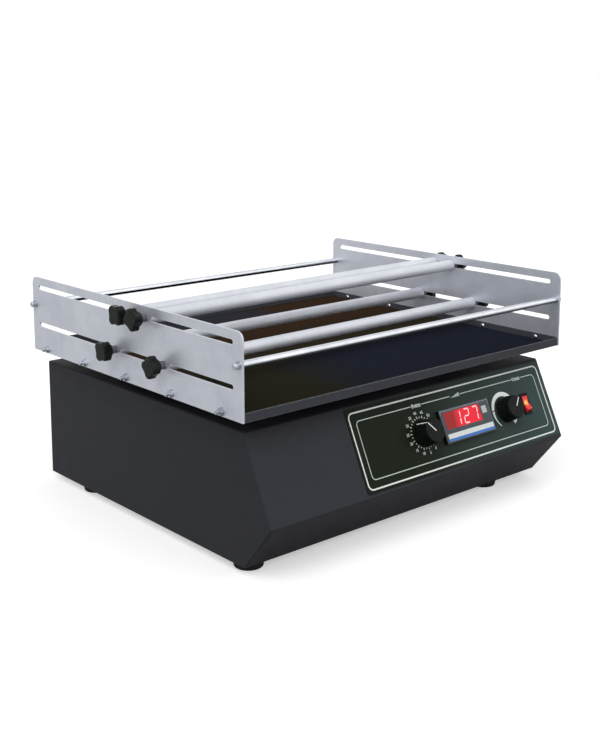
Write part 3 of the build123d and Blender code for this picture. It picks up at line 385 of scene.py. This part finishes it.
def smoked(name, colour, light, roughness):
    """Smooth tinted plastic."""
    made = Finish(name, colour, roughness, coat=0.15, specular=0.2)
    clouds = made.noise(9.0, detail=2.0)
    made.tone = made.colours(made.ramp(clouds, 0.3, 0.7), colour, light)
    made.colour(made.tone)
    made.roughness(made.ramp(made.noise(3.0), 0.3, 0.7, roughness, roughness + 0.08))
    made.bump(made.noise(6.0, detail=1.0), 0.02, 0.15)
    return made


def meter_case():
    """Tinted case with a painted highlight on its edges, brightest along its top, and painted shade that makes its
    left side black.
    """
    made = smoked("display_plastic", paint(60, 68, 78), paint(76, 84, 96), 0.14)
    low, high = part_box("display_case")
    # Painted highlight on the case's edges, brightest along its top.
    top = made.ramp(made.along("Z"), high.z - 7.0 * MM, high.z - 4.0 * MM)
    case_highlight = made.maths("MULTIPLY", made.edges(1.3), made.ramp(top, 0.0, 1.0, 0.25, 1.0))
    toned = made.colours(case_highlight, made.tone, paint(190, 202, 210))
    # Painted shade: the case's left side is made near black.
    side = made.ramp(made.along("X"), low.x + 1.0 * MM, low.x + 0.4 * MM)
    made.colour(made.colours(side, toned, paint(16, 17, 21)))
    return made


finishes["cast_aluminium"] = cast_metal()
finishes["motor_paint"] = motor_coat()
finishes["rubber"] = moulded_rubber()
finishes["belt"] = ribbed_belt()
finishes["board"] = circuit_board()
finishes["mat"] = rubber_mat()
finishes["panel_film"] = printed_film()
finishes["display_plastic"] = meter_case()
finishes["display_glass"] = smoked("display_glass", paint(62, 71, 78), paint(74, 83, 90), 0.1)

# Painted shade: the bars' spacers and studs are darker outside the side plates, where the knobs shade them

bars = finishes["bar_aluminium"]
plate_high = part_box("side_plate_right")[1]
plate_part = 0.5 * MM
spacer_shade = bars.ramp(
    bars.maths("ABSOLUTE", bars.along("X")), plate_high.x - plate_part, plate_high.x
)
bars.colour(bars.colours(spacer_shade, bars.tone, paint(98, 101, 107)))

# Painted reflection: a dark band along the lower half of the polished rods

rods = finishes["polished_steel"]
rod_low, rod_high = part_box("tie_rod_front")
rod_height = rods.ramp(rods.along("Z"), rod_low.z, rod_high.z)
reflection_band_top = rods.ramp(rod_height, 0.5, 0.42)
reflection_band_foot = rods.ramp(rod_height, 0.16, 0.24)
rods.colour(rods.colours(rods.maths("MULTIPLY", reflection_band_top, reflection_band_foot), rods.tone, paint(62, 68, 70)))

# Printed marks and the meter's lit parts

def ink(name, colour, glow=0.0, spread=0.06):
    made = Finish(name, colour, 0.5)
    dust = made.ramp(made.noise(1.5, detail=3.0), 0.35, 0.75, 0.0, spread)
    toned = made.colours(dust, colour, paint(90, 92, 90))
    made.colour(toned)
    made.roughness(made.ramp(made.noise(2.0), 0.3, 0.7, 0.42, 0.58))
    if glow:
        made.join(toned, made.shader.inputs["Emission Color"])
        made.shader.inputs["Emission Strength"].default_value = glow
    return made.material


white_ink = ink("white_ink", paint(250, 255, 252), spread=0.08)
fine_ink = ink("fine_ink", paint(218, 232, 225), spread=0.15)
scale_ink = ink("scale_ink", paint(232, 244, 240), spread=0.1)
# The pointer ink's glow is painted light, keeping the pointers bright on the knobs' shaded sides.
pointer_ink = ink("pointer_ink", paint(252, 255, 252), glow=0.12, spread=0.05)
strip_white = ink("strip_white", paint(240, 246, 244))
# The blue strip's faint glow is painted light.
strip_blue = ink("strip_blue", paint(52, 124, 214), glow=0.05)
square_light = ink("square_light", paint(202, 208, 206))
digit_light = ink("digit_light", paint(255, 196, 202), glow=0.6, spread=0.0)

joints = {joint["name"]: joint for joint in frame["joints"]}
across = Vector((1.0, 0.0, 0.0))
outwards = Vector(joints["timer_turn"]["axis"]).normalized()
upwards = outwards.cross(across)
timer_centre = Vector(joints["timer_turn"]["pos_m"])
speed_centre = Vector(joints["speed_turn"]["pos_m"])
timer_x = timer_centre.x / MM
speed_x = speed_centre.x / MM
panel_origin = timer_centre - across * timer_centre.x


def panel(x, rise, depth):
    """A point x across, rise above the line of the controls and depth out of the shell."""
    return panel_origin + (across * x + upwards * rise + outwards * depth) * MM


def depth_of(node):
    """How far a node's front stands out of the shell."""
    spots = [vertex.co for vertex in nodes[node].data.vertices]
    return max((spot - panel_origin).dot(outwards) for spot in spots) / MM


def surface(node):
    """The node's own mesh, ready for rays."""
    mesh = nodes[node].data
    return BVHTree.FromPolygons(
        [tuple(vertex.co) for vertex in mesh.vertices],
        [tuple(face.vertices) for face in mesh.polygons],
    )


rocker_low, rocker_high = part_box("power_rocker")
rocker_x = (rocker_low.x + rocker_high.x) / 2 / MM
lamp_rise = 1.0
ray_depth = 40.0


def lit_rocker():
    """Translucent red cap with a neon lamp glowing behind its middle."""
    made = Finish("red_plastic", paint(214, 32, 26), 0.22, coat=0.2, specular=0.3)
    start = panel(rocker_x, lamp_rise, ray_depth)
    lamp = surface("power_rocker").ray_cast(start, -outwards)[0]
    reach = made.add("ShaderNodeVectorMath")
    reach.operation = "DISTANCE"
    made.join(made.coordinates, reach.inputs[0])
    reach.inputs[1].default_value = lamp
    glow = made.ramp(reach.outputs["Value"], 5.2 * MM, 0.8 * MM, smooth=True)
    haze = made.ramp(made.noise(2.5), 0.3, 0.7, 0.85, 1.0)
    made.colour(made.colours(haze, paint(176, 22, 18), paint(218, 36, 30)))
    warm = made.colours(glow, paint(232, 34, 26), paint(255, 216, 84))
    made.join(warm, made.shader.inputs["Emission Color"])
    strength = made.maths("MULTIPLY", made.ramp(glow, 0.0, 1.0, 0.3, 1.0), haze)
    made.join(strength, made.shader.inputs["Emission Strength"])
    made.bump(made.noise(0.8), 0.02, 0.2)
    return made


finishes["red_plastic"] = lit_rocker()

polished_nodes = ("tie_rod_front", "tie_rod_rear")
for name, node in nodes.items():
    finish = "polished_steel" if name in polished_nodes else slot_of[name]
    node.data.materials.clear()
    node.data.materials.append(finishes[finish].material)

film_front = depth_of("control_fascia")
window_front = depth_of("display_window")
print_lift = 0.05


def add_piece(name, vertices, faces, body, material):
    mesh = bpy.data.meshes.new(name)
    mesh.from_pydata([tuple(vertex) for vertex in vertices], [], faces)
    mesh.validate()
    mesh.update()
    piece = bpy.data.objects.new(name, mesh)
    bpy.context.scene.collection.objects.link(piece)
    mesh.materials.append(material)
    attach(piece, body)


class Print:
    """Flat marks gathered into one piece at one depth above the panel."""

    def __init__(self, depth):
        self.depth = depth
        self.vertices = []
        self.faces = []

    def face(self, points):
        start = len(self.vertices)
        self.vertices += [panel(x, rise, self.depth) for x, rise in points]
        self.faces.append(tuple(range(start, len(self.vertices))))

    def stroke(self, points, width, closed=False):
        """A line of even width through points, mitred at its corners."""
        count = len(points)
        sides = []
        for index in range(count):
            here = Vector(points[index])
            before = Vector(points[index - 1]) if closed or index else None
            after = Vector(points[(index + 1) % count]) if closed or index < count - 1 else None
            first = (here - before).normalized() if before is not None else None
            second = (after - here).normalized() if after is not None else None
            first = second if first is None else first
            second = first if second is None else second
            middle = (first + second).normalized()
            normal = Vector((-middle.y, middle.x))
            spread = width / 2 / max(0.3, middle.dot(first))
            sides.append((here + normal * spread, here - normal * spread))
        last = count if closed else count - 1
        for index in range(last):
            a, b = sides[index], sides[(index + 1) % count]
            self.face([tuple(a[0]), tuple(a[1]), tuple(b[1]), tuple(b[0])])

    def rectangle(self, left, bottom, right, top):
        self.face([(left, bottom), (right, bottom), (right, top), (left, top)])

    def piece(self, name, material, slot="panel_film"):
        add_piece(name, self.vertices, self.faces, "base", material)


def rounded(left, bottom, right, top, radius, steps=8):
    """Points round a rectangle with rounded corners, from the top left, anticlockwise."""
    centres = (
        (left + radius, top - radius, 90.0),
        (left + radius, bottom + radius, 180.0),
        (right - radius, bottom + radius, 270.0),
        (right - radius, top - radius, 0.0),
    )
    points = []
    for x, rise, start in centres:
        for step in range(steps + 1):
            angle = math.radians(start + 90.0 * step / steps)
            points.append((x + radius * math.cos(angle), rise + radius * math.sin(angle)))
    return points


def arc(x, radius, start, end, steps=40):
    points = []
    for step in range(steps + 1):
        angle = math.radians(start + (end - start) * step / steps)
        points.append((x + radius * math.cos(angle), radius * math.sin(angle)))
    return points


figure_share = 0.72
figure_weight = 0.05


def numeral(text, x, rise, height, sheet):
    """Plain figures, centred on x and rise, added to a printed sheet."""
    curve = bpy.data.curves.new("figures", "FONT")
    curve.body = text
    curve.size = height / figure_share
    curve.align_x = "CENTER"
    curve.align_y = "CENTER"
    curve.resolution_u = 3
    curve.offset = figure_weight
    holder = bpy.data.objects.new("figures", curve)
    bpy.context.scene.collection.objects.link(holder)
    mesh = bpy.data.meshes.new_from_object(holder)
    spots = [vertex.co.copy() for vertex in mesh.vertices]
    middle_x = (min(s.x for s in spots) + max(s.x for s in spots)) / 2
    middle_y = (min(s.y for s in spots) + max(s.y for s in spots)) / 2
    for polygon in mesh.polygons:
        sheet.face([
            (x + spots[i].x - middle_x, rise + spots[i].y - middle_y) for i in polygon.vertices
        ])
    bpy.data.objects.remove(holder)
    bpy.data.meshes.remove(mesh)
    bpy.data.curves.remove(curve)


film_low, film_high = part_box("control_fascia")
film_left = film_low.x / MM
film_right = film_high.x / MM
display_low, display_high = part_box("display_case")
display_left = display_low.x / MM
display_right = display_high.x / MM
display_spots = [vertex.co - panel_origin for vertex in nodes["display_window"].data.vertices]
window_half = max(abs(spot.dot(upwards)) for spot in display_spots) / MM
window_margin = 2.0
display_half = window_half + window_margin

# Two lines round the fascia

frame_half = 41.8
frame_left = film_left + 3.6
frame_right = film_right - 5.8
frame_line = 1.7
frame_radius = 6.0
border = Print(film_front + print_lift)
around = rounded(frame_left, -frame_half, frame_right, frame_half, frame_radius)
border.stroke(around, frame_line, closed=True)
border.piece("frame_line", white_ink)

inner_half = 32.3
inner_left = film_left + 12.1
inner_right = film_right - 15.0
inner_line = 0.95
inner_radius = frame_radius - 1.0
display_middle = (display_left + display_right) / 2
symbol_places = (timer_x - 0.3, display_middle - 3.8, rocker_x - 3.0)
symbol_half = 9.0
inner = Print(film_front + print_lift)
around = rounded(inner_left, -inner_half, inner_right, inner_half, inner_radius)
inner.stroke(around, inner_line)
stops = [around[0][0]]
for place in symbol_places:
    stops += [place - symbol_half, place + symbol_half]
stops.append(around[-1][0])
for index in range(0, len(stops), 2):
    inner.stroke([(stops[index], inner_half), (stops[index + 1], inner_half)], inner_line)
inner.piece("inner_line", fine_ink)

# Small plain symbols that break the inner line: a clock, a rising scale and a switch mark

symbol_height = 4.4
symbol_line = 0.8
symbol_ring = symbol_height / 2 - symbol_line / 2
symbol_offset = 5.4
clock_minute = 1.2
clock_hour = 0.9
tally_pitch = 1.7
tally_filled = 0.62
tally_level = 0.8
symbols = Print(film_front + print_lift)


def shifted(points, x, rise):
    return [(px + x, pr + rise) for px, pr in points]


def tally(x, first, count, rising=False):
    """Short upright bars beside a symbol."""
    for index in range(count):
        share = (index + 1) / count if rising else tally_level
        left = x + first + index * tally_pitch
        foot = inner_half - symbol_height / 2
        top = foot + symbol_height * share
        symbols.rectangle(left, foot, left + tally_pitch * tally_filled, top)


def ring(x, start, end, closed=False):
    """The round part of a symbol on the inner line."""
    points = shifted(arc(0.0, symbol_ring, start, end, 20), x, inner_half)
    symbols.stroke(points, symbol_line, closed=closed)


clock_x = symbol_places[0] - symbol_offset
ring(clock_x, 0.0, 350.0, closed=True)
hands = [(0.0, clock_minute), (0.0, 0.0), (clock_hour, 0.0)]
symbols.stroke(shifted(hands, clock_x, inner_half), symbol_line)
tally(symbol_places[0], -2.2, 6)
tally(symbol_places[1], -7.4, 9, rising=True)
switch_mark = symbol_places[2] - symbol_offset
ring(switch_mark, 120.0, 420.0)
stem = [(0.0, 0.0), (0.0, symbol_height / 2)]
symbols.stroke(shifted(stem, switch_mark, inner_half), symbol_line)
tally(symbol_places[2], -2.4, 6)
symbols.piece("symbols", scale_ink)

# Timer scale: figures round the knob and two ticks to each

ring_x = timer_x - 1.8
ring_rise = 1.0
scale_start = 302.0
scale_steps = 12
scale_pitch = 25.4
figure_radius = 23.3
figure_height = 3.3
tick_inner = 16.8
tick_outer = 19.4
tick_half_drop = 1.0
tick_line = 0.95
minutes_a_step = 5
scale = Print(film_front + print_lift)
for step in range(scale_steps + 1):
    angle = math.radians(scale_start - scale_pitch * step)
    numeral(
        str(minutes_a_step * step), ring_x + figure_radius * math.cos(angle),
        ring_rise + figure_radius * math.sin(angle), figure_height, scale
    )
for step in range(2 * scale_steps + 1):
    angle = math.radians(scale_start - scale_pitch * step / 2)
    reach = tick_outer if step % 2 == 0 else tick_outer - tick_half_drop
    points = [
        (ring_x + radius * math.cos(angle), ring_rise + radius * math.sin(angle))
        for radius in (tick_inner, reach)
    ]
    scale.stroke(points, tick_line)
scale.piece("timer_scale", scale_ink)

# Speed scale: a crescent that widens clockwise round the knob

crescent_x = speed_x - 1.0
crescent_outer = 21.9
crescent_start = 232.0
crescent_gap = 174.0
crescent_gap_width = 1.6
crescent_end = -60.0
crescent_widths = (
    (232.0, 0.8), (200.0, 2.2), (170.0, 4.0), (110.0, 5.0), (-40.0, 5.6), (-60.0, 5.2)
)
crescent_step = 4.0


def crescent_width(angle):
    for (a, wide_a), (b, wide_b) in zip(crescent_widths, crescent_widths[1:]):
        if b <= angle <= a:
            return wide_a + (wide_b - wide_a) * (a - angle) / (a - b)
    return crescent_widths[-1][1]


crescent = Print(film_front + print_lift)
for start, end in (
    (crescent_start, crescent_gap + crescent_gap_width),
    (crescent_gap - crescent_gap_width, crescent_end),
):
    steps = int(abs(start - end) / crescent_step)
    angles = [start + (end - start) * step / steps for step in range(steps + 1)]
    for a, b in zip(angles, angles[1:]):
        quad = []
        for angle, inside in ((a, False), (b, False), (b, True), (a, True)):
            radius = crescent_outer - (crescent_width(angle) if inside else 0.0)
            turned = math.radians(angle)
            quad.append((crescent_x + radius * math.cos(turned), radius * math.sin(turned)))
        crescent.face(quad)
crescent.piece("speed_crescent", white_ink)

# Meter face

meter_width = display_right - display_left
meter_height = 2 * display_half
meter_lift = window_front + print_lift


def meter(a, b):
    """A place at share a of the meter's width from the left, and b of its height from the top."""
    return display_left + a * meter_width, display_half - b * meter_height


# Places on the meter as shares: left, top, right, bottom

window_place = (0.07, 0.09, 0.79, 0.6)
square_place = (0.82, 0.19, 0.915, 0.41)
strip_place = (0.045, 0.735, 0.965, 0.88)
blue_place = (0.045, 0.885, 0.965, 0.955)


def meter_patch(name, place, material):
    left, top, right, bottom = place
    x0, top_rise = meter(left, top)
    x1, bottom_rise = meter(right, bottom)
    patch = Print(meter_lift)
    patch.rectangle(x0, bottom_rise, x1, top_rise)
    patch.piece(name, material, "display_glass")


def lit_window():
    """Red filter over the figures, brighter where they are lit."""
    made = Finish("window_red", paint(214, 26, 44), 0.3, specular=0.2)
    left = meter(window_place[0], 0.0)[0] * MM
    right = meter(window_place[2], 0.0)[0] * MM
    haze = made.ramp(made.noise(5.0, detail=2.0), 0.3, 0.7, -0.04, 0.04)
    place = made.maths("ADD", made.ramp(made.along("X"), left, right), haze)
    lit = made.ramp(place, 0.2, 0.42, smooth=True)
    far = made.ramp(place, 1.0, 0.93, smooth=True)
    level = made.maths("MULTIPLY", lit, far)
    toned = made.colours(level, paint(166, 34, 36), paint(224, 30, 48))
    made.colour(toned)
    made.join(toned, made.shader.inputs["Emission Color"])
    made.join(made.ramp(level, 0.0, 1.0, 0.12, 0.42), made.shader.inputs["Emission Strength"])
    made.bump(made.noise(2.0), 0.01, 0.1)
    return made.material


meter_patch("meter_window", window_place, lit_window())
meter_patch("meter_square", square_place, square_light)
meter_patch("meter_strip", strip_place, strip_white)
meter_patch("meter_strip_blue", blue_place, strip_blue)

# Seven-segment figures, leaning a little

segment_shapes = {
    "a": ((0.08, 1.0), (0.92, 1.0)),
    "b": ((1.0, 0.95), (1.0, 0.55)),
    "c": ((1.0, 0.45), (1.0, 0.05)),
    "d": ((0.08, 0.0), (0.92, 0.0)),
    "e": ((0.0, 0.45), (0.0, 0.05)),
    "g": ((0.1, 0.5), (0.9, 0.5)),
}
lit_segments = ("bc", "abged", "abc")
figure_places = (0.265, 0.44, 0.615)
figure_foot = 0.55
figure_wide = 7.9
figure_tall = 15.8
figure_line = 1.45
figure_lean = 0.16
digits = Print(meter_lift + print_lift)
digit_left, digit_bottom = meter(0.0, figure_foot)
for place, letters in zip(figure_places, lit_segments):
    left = digit_left + place * meter_width
    for letter in letters:
        ends = []
        for u, v in segment_shapes[letter]:
            rise = digit_bottom + v * figure_tall
            ends.append((left + u * figure_wide + figure_lean * v * figure_tall, rise))
        digits.stroke(ends, figure_line)
digits.piece("meter_figures", digit_light, "display_glass")


# Pointers on the two dials, laid on the knobs' own surface

pointer_width = 1.1 * MM
pointer_lift = 0.08 * MM
knob_rim = 2.7 * MM
knob_shoulder = 0.9 * MM
face_steps = 14
side_steps = 20
ray_start_above = 10.0 * MM
ray_start_beside = 30.0 * MM


def pointer(name, node, body, centre, angle, from_radius, down_to=None):
    """A painted line across a knob's face from from_radius to its edge, then down its side."""
    mesh = nodes[node].data
    tree = surface(node)
    direction = across * math.cos(math.radians(angle)) + upwards * math.sin(math.radians(angle))
    sideways = outwards.cross(direction) * pointer_width
    spots = [vertex.co - centre for vertex in mesh.vertices]
    top = max(spot.dot(outwards) for spot in spots)
    widest = max((spot - outwards * spot.dot(outwards)).length for spot in spots)
    inner = from_radius * MM
    rim = widest - knob_rim
    rows = []
    for step in range(face_steps + 1):
        above = centre + direction * (inner + (rim - inner) * step / face_steps)
        above += outwards * (top + ray_start_above)
        hits = [tree.ray_cast(above + sideways * side, -outwards)[0] for side in (-0.5, 0.5)]
        rows.append([hit + outwards * pointer_lift for hit in hits])
    if down_to is not None:
        shoulder = top - knob_shoulder
        for step in range(side_steps + 1):
            height = shoulder + (down_to * MM - shoulder) * step / side_steps
            beside = centre + direction * ray_start_beside + outwards * height
            furthest = 0.0
            for side in (-0.5, -0.25, 0.0, 0.25, 0.5):
                hit = tree.ray_cast(beside + sideways * side, -direction)[0]
                furthest = max(furthest, (hit - centre).dot(direction))
            middle = centre + direction * (furthest + pointer_lift) + outwards * height
            rows.append([middle + sideways * side for side in (-0.5, 0.5)])
    vertices = [spot for row in rows for spot in row]
    faces = [(2 * i, 2 * i + 1, 2 * i + 3, 2 * i + 2) for i in range(len(rows) - 1)]
    add_piece(name, vertices, faces, body, pointer_ink)


pointer("timer_pointer", "timer_knob", "timer_dial", timer_centre, 130.0, -1.3, down_to=3.4)
pointer("speed_pointer", "speed_knob", "speed_dial", speed_centre, 50.0, 0.6)


# Floor and light

floor_colour = paint(238, 238, 238)
floor_bounce = paint(66, 66, 66)
floor_lift = 0.42
floor_reach = 30.0
sky_on_object = 0.55
white = (1.0, 1.0, 1.0, 1.0)


def looked_at(tree, light_path):
    """1 for a ray from the camera, off a gloss or through glass, and 0 for one that lights."""
    found = light_path.outputs["Is Camera Ray"]
    for ray in ("Is Glossy Ray", "Is Transmission Ray"):
        either = tree.nodes.new("ShaderNodeMath")
        either.operation = "MAXIMUM"
        tree.links.new(found, either.inputs[0])
        tree.links.new(light_path.outputs[ray], either.inputs[1])
        found = either.outputs[0]
    return found


floor_mesh = bpy.data.meshes.new("floor")
floor_mesh.from_pydata(
    [(-floor_reach, -floor_reach, 0), (floor_reach, -floor_reach, 0),
     (floor_reach, floor_reach, 0), (-floor_reach, floor_reach, 0)], [], [(0, 1, 2, 3)]
)
floor = bpy.data.objects.new("floor", floor_mesh)
bpy.context.scene.collection.objects.link(floor)
floor_material = bpy.data.materials.new("floor")
floor_material.use_nodes = True
tree = floor_material.node_tree
floor_shader = tree.nodes["Principled BSDF"]
floor_shader.inputs["Roughness"].default_value = 0.9
floor_shader.inputs["Specular IOR Level"].default_value = 0.0
light_path = tree.nodes.new("ShaderNodeLightPath")
tone = tree.nodes.new("ShaderNodeMix")
tone.data_type = "RGBA"
tone.inputs[6].default_value = floor_bounce
tone.inputs[7].default_value = floor_colour
tree.links.new(looked_at(tree, light_path), tone.inputs[0])
tree.links.new(tone.outputs[2], floor_shader.inputs["Base Color"])
floor_shader.inputs["Emission Color"].default_value = white
lift_light = tree.nodes.new("ShaderNodeMath")
lift_light.operation = "MULTIPLY"
lift_light.inputs[1].default_value = floor_lift
tree.links.new(light_path.outputs["Is Camera Ray"], lift_light.inputs[0])
tree.links.new(lift_light.outputs[0], floor_shader.inputs["Emission Strength"])
floor_mesh.materials.append(floor_material)

world = bpy.data.worlds.new("studio")
world.use_nodes = True
bpy.context.scene.world = world
sky = world.node_tree
background = sky.nodes["Background"]
background.inputs["Color"].default_value = white
level = sky.nodes.new("ShaderNodeMapRange")
level.inputs["To Min"].default_value = sky_on_object
level.inputs["To Max"].default_value = 1.0
sky.links.new(looked_at(sky, sky.nodes.new("ShaderNodeLightPath")), level.inputs["Value"])
sky.links.new(level.outputs["Result"], background.inputs["Strength"])


def soft_lamp(name, azimuth, elevation, strength, spread):
    """A broad distant lamp. Azimuth 0 shines from the front, 90 from the machine's right."""
    data = bpy.data.lights.new(name, "SUN")
    data.energy = strength
    data.angle = math.radians(spread)
    lamp = bpy.data.objects.new(name, data)
    bpy.context.scene.collection.objects.link(lamp)
    lamp.rotation_euler = Euler((math.radians(90.0 - elevation), 0.0, math.radians(azimuth)))


soft_lamp("key", -62.0, 48.0, 1.15, 50.0)
soft_lamp("fill", 35.0, 35.0, 0.45, 70.0)
